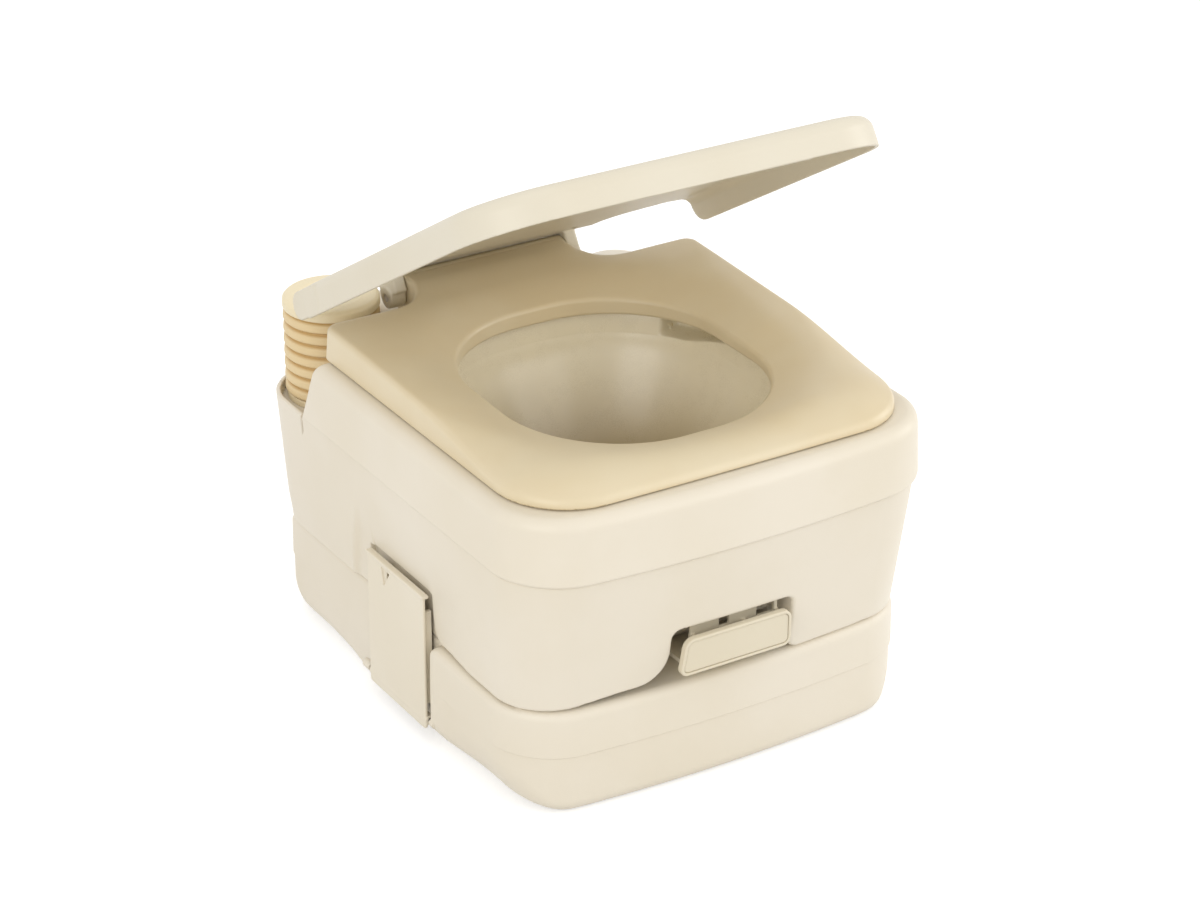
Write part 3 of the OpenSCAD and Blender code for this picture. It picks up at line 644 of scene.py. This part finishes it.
def jet_recess(ring):
    """Ring of the bowl, pushed outwards under the rim where the flush water enters."""
    around = np.degrees(np.arctan2(ring[:, 1] - OPEN_Y, ring[:, 0]))
    low = 230 - 8.5 * rise(around, 13, 34)
    depth = 19 * rise(around, 13, 20) * (1 - rise(around, 38, 42))
    depth = depth * rise(ring[:, 2], low - 2.2, low) * (1 - rise(ring[:, 2], 230.6, 231.6))
    out = ring[:, :2] - (0, OPEN_Y)
    pushed = ring[:, :2] + depth[:, None] * out / np.linalg.norm(out, axis=1)[:, None]
    return np.column_stack([pushed, ring[:, 2]])


# rings of the bowl as half width, half depth, middle and height: down the inside, up the outside
inner = smooth_line([
    (114.6, 122.6, OPEN_Y, 235.2), (113.4, 121.4, OPEN_Y, 231.2), (112.8, 120.8, OPEN_Y, 228.8),
    (112.4, 120.4, OPEN_Y, 227), (111.9, 119.9, OPEN_Y, 224.5), (111.1, 119.1, OPEN_Y, 220.5),
    (110.2, 118.2, OPEN_Y, 217), (105.5, 113.5, OPEN_Y, 203), (91.5, 98, -30, 176), (75, 79, -28, 151),
    (57, 58, -26.6, 130), (45, 45, -25.4, 116.5), (41, 41, -25, 110), (40, 40, -25, 104.2)], 6)
outer = smooth_line([
    (44, 44, -25, 104.2), (44.2, 44.2, -25, 108), (51, 51, -25.6, 114), (63, 64, -26.6, 128),
    (80, 84, -28, 149), (96, 102, -30, 174), (109, 117, OPEN_Y, 201), (113.6, 121.6, OPEN_Y, 214),
    (116.5, 124.5, OPEN_Y, 222), (118, 126, OPEN_Y, 227), (125, 133, OPEN_Y, 229.2),
    (125, 133, OPEN_Y, 232.8), (118, 126, OPEN_Y, 233)], 4)
bowl = rings("bowl_shell", [jet_recess(oval_ring(*p)) for p in np.concatenate([outer, inner])], closed=True)
fit(bowl, tan_bowl, "seat_plastic", "base", "bowl")


def jet_form(x, y, z):
    """Short tube that lets the flush water into the recess."""
    return less(both(rod(x, z, *JET, 4.6), span(y, 53, 64), 0.8), rod(x, z, *JET, 2.8), 0.5)


jet = skin("flush_jet", jet_form, rows(93, 105, 0.7), rows(51, 66, 1.2, (51, 56, 0.6)), rows(215, 227, 0.7))
fit(jet, tan_bowl, "seat_plastic", "base", "flush_nozzle")


# seat

def seat_form(x, y, z):
    """Seat: a crown that falls softly to the front and dips to the opening, with the hinge block behind."""
    ax = np.abs(x)
    lean = rise(y, 40, 90) * (0.15 * (z - 248) - 0.3)
    edge = plan(x, y + lean, *SEAT)
    hole = oval(x, y, *SEAT_OPENING, OPEN_Y + 0.5)
    hinge_block = overlap(ax - BLOCK_X, span(y, 60, HINGE_Y))
    outline = either(edge, hinge_block, 32)
    crown = 264.2 - 9.2 * np.clip((100 - y) / 288, 0, 1.02) ** 1.15 + 2.4 * rise(y, 112, 140)
    front = rise(-y, 20, 150)
    fall = (1.2 + 11 * front) * np.clip(1 + outline / (6 + 36 * front), 0, 1) ** 2.2
    rim = 32 - hole
    dip = 0.2 * (rim + np.hypot(rim, 15)) * (1 - 0.12 * front)
    top = z - (crown - fall - dip)
    d = both(both(both(outline, top, 3.4), SEAT_Z - z, 0.8), -hole, 2.6)
    hollow = overlap(edge + 12, 9 - hole, top + 5)
    nose = overlap(rod(y, z, HINGE_Y, HINGE_Z, 16), ax - BLOCK_X)
    pin_bore = overlap(rod(y, z, HINGE_Y, HINGE_Z, 3.2), 28 - ax)
    return less(union(less(d, hollow), nose), pin_bore)


seat = skin(
    "seat_moulding", seat_form,
    rows(-160, 160, 2.4, (-160, -146, 1.6), (146, 160, 1.6), (60, 70, 1.2), (-70, -60, 1.2)),
    rows(-192, 171, 2.4, (-192, -178, 1.6), (98, 171, 1.7)),
    rows(234, 267, 1.3))
fit(seat, tan_seat, "seat_plastic", "seat_frame", "seat")


# lid, shaped closed and then turned open about the hinge

turn_open = np.array(Matrix.Rotation(LID_ANGLE, 3, "X"))
axis = np.array([0, HINGE_Y, HINGE_Z])
LID_TURN = (turn_open, axis - turn_open @ axis)


def lid_form(x, y, z):
    """Lid: a crowned hollow tray, its rear edge cut back on the right and with a cheek on the left."""
    edge = plan(x, y, *LID)
    side = plan(x, y, *LID_SIDES) + 0.05 * (z - LID_Z)
    crown = z - LID_Z - (27.6 - 4.6 * np.exp(np.minimum(edge, 0) / 52))
    outside = both(both(side, crown, 9), edge, 1)
    inside = both(side + 3.6, crown + 3.4, 6.5)
    d = both(less(outside, inside), LID_Z - z, 1)
    far = np.maximum(x - 83, 0)
    rear = y - (98 + 19 * np.exp(-far / 9) + 19 * np.exp(-far / 75))
    d = both(d, either(both(rear * 0.8, LID_Z - z, 13), x - 83, 3), 1)
    cheek = both(overlap(side, -3.6 - side, x + 90), both(span(y, 90, 135.5), span(z, 246, 267), 10.3), 1)
    d = either(d, cheek, 1.5)
    strap_gap = overlap(np.abs(x) - 69.2, span(y, 119, 160), z - 266)
    return less(d, strap_gap, 0.6)


lid = skin(
    "lid_shell", lid_form,
    rows(-168, 168, 2.6, (-168, -105, 1.5), (105, 168, 1.5), (80, 92, 1.5)),
    rows(-200, 146, 2.6, (-200, -136, 1.5), (94, 138, 1.5)),
    rows(242, 276, 1.15), LID_TURN)
fit(lid, cream_lid, "shell", "lid_frame", "lid")


def knuckle_form(x, y, z):
    """Hinge of the lid: an arm and an eye at each side, and a strap that wraps the seat's hinge block."""
    ax = np.abs(x)
    around = np.hypot(y - HINGE_Y, z - HINGE_Z)
    width = ax - (STRAP_X - 0.35 * np.clip(150 - y, 0, 60))
    arm = both(overlap(width, 69.4 - ax), block(y, z, x, 142, 162, HINGE_Z, 268, -90, 90, 2), 1.5)
    eye = both(rod(y, z, HINGE_Y, HINGE_Z, 8.4), span(ax, 69.4, STRAP_X), 1)
    strap = both(overlap(width, span(y, 117, 158)), span(z, 266.6, 269.6), 1)
    wrap = overlap(150 - y, (1.963 * (y - HINGE_Y) - (z - HINGE_Z)) / 2.2)
    wrap = both(overlap(np.abs(around - 18.6) - 1.4, width), wrap, 1)
    d = either(either(arm, eye, 2), either(strap, wrap, 3), 2)
    d = overlap(d, union(17.2 - around, 69.3 - ax))
    return less(d, rod(y, z, HINGE_Y, HINGE_Z, 3.1), 0.4)


knuckles = skin("lid_knuckles", knuckle_form, rows(-84, 84, 3, (-84, -66, 0.9), (66, 84, 0.9)),
                rows(114, 178, 0.9), rows(239, 273, 0.9), LID_TURN)
fit(knuckles, cream_lid, "shell", "lid_frame")


# side latches

def latch_form(x, y, z):
    """Latch plate with its lip, pin barrel, ribs and hook; x is the distance from the middle of the body."""
    d = both(span(x, 164.2, 166.4), both(span(y, -46.6, 36), span(z, 10, 118), 3), 0.7)
    lip = block(x, y, z, 161.6, 167, -47, 37, 115.8, 118.2, 0.6)
    lip = both(lip, -1.5 * (z - 115) - (x - 161.6), 0.4)
    barrel = overlap(rod(x, z, *PIN, 3.6), span(y, -47, 38))
    ribs = union(span(y, -44, -41), span(y, -7, -3), span(y, 31, 34))
    ribs = overlap(ribs, span(z, 29, 104), span(x, 157.9, 165))
    hook = block(x, y, z, 157.9, 165, -35, 25, 104, 108, 0.6)
    d = either(either(d, lip, 0.8), either(barrel, union(ribs, hook), 0.5), 0.8)
    upper = z - 113.4 - 0.08 * (y - 8.5)
    rear = (y - 14.4) * 0.98 - (z - 114) * 0.197
    front = -(y - 2.5) * 0.826 - (z - 112.8) * 0.563
    mark = both(both(upper, rear, 0.4), front, 1)
    mark = union(overlap(mark, 165.1 - x), overlap(mark, y - 8.6, 158 - x))
    return less(less(d, mark, 0.2), rod(x, z, *PIN, 1.65))


for name, side, body in (("latch_left", -1, "left_latch"), ("latch_right", 1, "right_latch")):
    plate = skin(
        name + "_plate", lambda x, y, z: latch_form(side * x, y, z),
        np.sort(side * rows(156.6, 168.4, 1.1, (162.4, 168.4, 0.55))),
        rows(-50, 40, 2, (-50, -46, 0.6), (3, 18, 0.6), (36, 40, 0.6)),
        rows(8, 120, 2, (8, 22, 1), (94, 120, 0.6)))
    fit(plate, cream_latch, "shell", body, name)


# grip of the slide valve

def grip_plan(x, z, inset):
    """Face of the grip: a rounded plate whose left end slants."""
    left = -51.4 + 5.6 * (z - 95) / 29
    across = np.maximum(left - x, x - 40.2) + inset
    return both(across, span(z, 94.6, 122.4) + inset, 6.5 - inset)


def grip_form(x, y, z):
    """Grip: a shallow dish in front, with a slotted back plate, a foot and ribs behind it."""
    face = both(grip_plan(x, z, 0), span(y, -201, -195.4), 1.1)
    face = less(face, overlap(grip_plan(x, z, 2.3), y + 199.3), 0.5)
    foot = block(x, y, z, -34, 38, -196, -173, 97.3, 100.3, 0.8)
    back = block(x, y, z, -34, 38, -186, -183.4, 98, 124.2, 0.6)
    slots = union(block(x, y, z, -10.6, -2.4, -190, -180, 116.4, 130, 0.4),
                  block(x, y, z, 20.4, 34.8, -190, -180, 115.6, 130, 0.4))
    ribs = union(span(x, -34, -31), span(x, 8, 11), span(x, 35, 38))
    ribs = overlap(ribs, span(y, -196, -184), span(z, 98, 117))
    return either(face, either(either(ribs, less(back, slots, 0.2), 1), foot, 1), 1)


grip = skin(
    "grip_plate", grip_form,
    rows(-54, 43, 1.8, (-54, -43, 0.8), (-36, -30, 0.8), (-12, -1, 0.8), (18, 43, 0.8)),
    rows(-203, -171, 1.5, (-203, -193, 0.6), (-188, -182, 0.7)),
    rows(92, 127, 1.4, (92, 101, 0.8), (113, 127, 0.7)))
fit(grip, cream_grip, "shell", "slide_valve", "valve_handle")


def inlay_form(x, y, z):
    """Thin bare panel in the dish of the grip."""
    return both(grip_plan(x, z, 2.6), span(y, -200.3, -199.4), 0.35)


inlay = skin("grip_inlay", inlay_form, rows(-50, 39, 2, (-50, -42, 0.6), (34, 39, 0.6)),
             rows(-201.2, -198.7, 0.22), rows(96, 121, 2, (96, 101, 0.6), (116, 121, 0.6)))
fit(inlay, cream_grip, "shell", "slide_valve", "handle_panel")


# bellows pump

FOLDS, LOW, HIGH = 7, 184, 250
FOLD_STEPS = 18


def bellows_line():
    """Profile of the bellows: up the outside over the ridges, then down the inside with fewer points."""
    step = np.arange(FOLDS * FOLD_STEPS + 1)
    u = (step / FOLD_STEPS) % 1
    height = LOW + (HIGH - LOW) / FOLDS * step / FOLD_STEPS
    fold = np.abs(((u + 0.5) % 1) - 0.5)
    radius = RIDGE_R - FOLD_DEPTH * np.exp(-(fold / 0.15) ** 2) - 0.9 * np.clip((u - 0.2) / 0.8, 0, 1)
    outside = list(zip(radius, height))
    return outside + [(r - 1.5, h) for r, h in outside[::-3]]


bellows = lathe("bellows_skin", bellows_line(), PUMP, closed=True)
fit(bellows, ochre_bellows, "bellows", "base", "bellows")
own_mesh(bellows)

pump_cap = lathe("pump_cap", fillets([
    (0, HIGH), (33.6, HIGH), (36, 251), (36, 257.2), (33.4, 259.3), (24, 259.9), (22.5, 259.2), (0, 259.2)],
    1.2), PUMP)
fit(pump_cap, pale_cap, "bellows", "pump_head", "bellows_cap")

collar = lathe("pump_collar_ring", fillets([
    (29, 178.9), (29, 184), (34.4, 184), (34.4, 179), (29, 178.9)], 0.9), PUMP)
fit(collar, pale_cap, "shell", "base", "pump_collar")


# caps

CORNER_STEPS = 7


def ribbed_line(points, radius, start, end):
    """Rounded profile of a cap, with more points along its first side, where the ribs are."""
    line = fillets(points, radius, CORNER_STEPS)
    side = [np.linspace(a, b, CORNER_STEPS + 2)[1:-1] for a, b in zip(start, end)]
    return np.concatenate([line[:CORNER_STEPS + 1], np.stack(side, 1), line[CORNER_STEPS + 1:]])


def cap_ribs(count, depth, low, high, least):
    """Swell of a lathe: count grooves between two heights, outside the radius least."""
    def swell(angle, r, h):
        share = np.clip(np.cos(angle * count) * 1.6, -0.6, 0.6) / 1.2 + 0.5
        return -depth * share * (low < h < high and r > least)
    return swell


fill_line = ribbed_line([
    (20, 203.6), (27.6, 203.6), (27.8, 222.4), (26.4, 226.2), (24.5, 228.2), (17.5, 230.6), (0.4, 231.6)],
    1.4, (27.6, 204.6), (27.8, 221.4))
fill_cap = lathe("fill_cap_turned", fill_line, FILL, turns=216, swell=cap_ribs(36, 0.9, 205, 222, 27))
fit(fill_cap, cream, "shell", "filler_cap", "fill_cap")

spout_line = ribbed_line([
    (19.6, 180.2), (23.6, 180.2), (23.6, 198.4), (22.2, 200), (0.4, 200)], 1.2, (23.6, 179.5), (23.6, 199.5))
spout_cap = lathe("spout_cap_turned", spout_line, SPOUT, along="y", turns=192,
                  swell=cap_ribs(24, 0.9, 181, 198.5, 23.2))


def bar_form(x, y, z):
    """Bar across the spout cap, to turn it by."""
    across = both(span(x, SPOUT[0] - 16, SPOUT[0] + 16), span(z, SPOUT[1] - 2.5, SPOUT[1] + 2.5), 2.3)
    return both(across, span(y, 198.5, 205), 1.2)


spout_bar = skin("spout_cap_bar", bar_form, rows(70, 106, 1), rows(197, 207, 0.8), rows(38, 46, 0.7))
fit(spout_cap, cream_grip, "shell", "pour_cap", "spout_cap")
fit(spout_bar, cream_grip, "shell", "pour_cap")

bushing = lathe("vent_ring", fillets([
    (2.4, 181), (8.3, 181), (8.3, 196.8), (12, 196.8), (12, 199), (6, 199), (6, 183), (2.4, 183), (2.4, 181)],
    0.5), VENT, along="y", turns=72)
fit(bushing, cream, "shell", "base", "vent_bushing")
button = lathe("vent_plunger_button", fillets([
    (0.4, 179), (2, 179), (2, 188.6), (5.6, 188.6), (5.6, 203), (3, 202.2), (0.4, 202)],
    0.6), VENT, along="y", turns=72)
fit(button, cream_grip, "shell", "vent_plunger", "vent_button")


# nodes that stay as they are

for names, material, slot in (
        (("valve_housing", "pour_spout", "pickup_tube", "pump_valve", "filler_neck"), cream, "shell"),
        (("valve_blade",), cream_grip, "shell"),
        (("valve_seal_lower", "valve_seal_upper", "spout_seal", "fill_seal", "seat_pads"), dark_seal, "seal"),
        (("flush_tube",), tube_finish, "bellows"),
        (("valve_screws", "latch_pins", "hinge_pins"), steel, "steel")):
    for name in names:
        wear(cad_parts[name], material)


# floor and surroundings, white to the camera

FLOOR_HALF, FLOOR_LEVEL = 9000, -0.5

ground = Finish(bpy.data.materials.new("floor"))
seen = ground.node("ShaderNodeLightPath", out="Is Camera Ray")
glossy = ground.node("ShaderNodeLightPath", out="Is Glossy Ray")
plain = ground.node("ShaderNodeBsdfDiffuse", {}, {"Color": (0.72, 0.72, 0.72, 1)})
glow = ground.node("ShaderNodeEmission", {}, {"Color": (1, 1, 1, 1), "Strength": 0.5})
lit = ground.node("ShaderNodeAddShader", {}, {0: plain, 1: glow})
floor_corners = ((-1, -1), (1, -1), (1, 1), (-1, 1))
floor = build("floor", np.array([(x * FLOOR_HALF, y * FLOOR_HALF, FLOOR_LEVEL) for x, y in floor_corners]),
              np.array([[0, 1, 2, 3]]))
floor.data.materials.append(ground.close(ground.node(
    "ShaderNodeMixShader", {}, {0: seen.maths("MAXIMUM", seen, glossy), 1: plain, 2: lit})))

studio = Finish(bpy.data.worlds.new("studio"))
seen = studio.node("ShaderNodeLightPath", out="Is Camera Ray")
through = studio.node("ShaderNodeLightPath", out="Is Transmission Ray")
room = studio.node("ShaderNodeBackground", {}, {"Color": (1.0, 0.985, 0.965, 1), "Strength": 0.87})
white = studio.node("ShaderNodeBackground", {}, {"Strength": 1.0})
bpy.context.scene.world = studio.close(studio.node(
    "ShaderNodeMixShader", {}, {0: seen.maths("MAXIMUM", seen, through), 1: room, 2: white}),
    "ShaderNodeOutputWorld")


# lamps, in metres and watts

def softbox(name, place, aim, size, power):
    """Rectangular area lamp at a place, turned to its aim."""
    light = bpy.data.lights.new(name, "AREA")
    light.shape = "RECTANGLE"
    light.size, light.size_y = size
    light.energy = power
    light.color = (1.0, 0.99, 0.97)
    obj = bpy.data.objects.new(name, light)
    obj.location = place
    obj.rotation_mode = "QUATERNION"
    obj.rotation_quaternion = (Vector(aim) - Vector(place)).to_track_quat("-Z", "Y")
    bpy.context.scene.collection.objects.link(obj)


softbox("key_softbox", (-1.9, -1.3, 1.25), (0, 0, 0.15), (1.5, 1.5), 14)
softbox("side_softbox", (1.3, -2.2, 1.3), (0, 0, 0.15), (1.4, 1.4), 8)
softbox("fill_softbox", (2.3, -0.7, 0.85), (0, 0, 0.25), (1.2, 1.2), 12)
softbox("top_softbox", (0.1, 0.5, 2.4), (0, 0, 0.2), (1.4, 1.4), 3)


# camera fitted to the photograph: angles, metres from its aim, then focal length and middle in pixels

PICTURE_W, PICTURE_H = 1200, 900
AZIMUTH, ELEVATION, ROLL = math.radians(31.633), math.radians(27.155), math.radians(0.108)
DISTANCE = 2.44584
AIM = Vector((0, 0, 0.15))
FOCAL = 3363.32
MIDDLE_X, MIDDLE_Y = 590.681, 474.051
SENSOR = 36

back = Vector((-math.sin(AZIMUTH) * math.cos(ELEVATION), -math.cos(AZIMUTH) * math.cos(ELEVATION),
               math.sin(ELEVATION)))
right = Vector((math.cos(AZIMUTH), -math.sin(AZIMUTH), 0))
up = back.cross(right)
right, up = right * math.cos(ROLL) + up * math.sin(ROLL), up * math.cos(ROLL) - right * math.sin(ROLL)
lens = bpy.data.cameras.new("camera")
lens.lens = FOCAL / PICTURE_W * SENSOR
lens.sensor_width = SENSOR
lens.shift_x = (PICTURE_W / 2 - MIDDLE_X) / PICTURE_W
lens.shift_y = (MIDDLE_Y - PICTURE_H / 2) / PICTURE_W
lens.clip_start, lens.clip_end = 0.05, 60
camera = bpy.data.objects.new("camera", lens)
turn = Matrix((right, up, back)).transposed().to_4x4()
camera.matrix_world = Matrix.Translation(AIM + back * DISTANCE) @ turn
bpy.context.scene.collection.objects.link(camera)
bpy.context.scene.camera = camera
bpy.context.scene.view_settings.view_transform = "Standard"
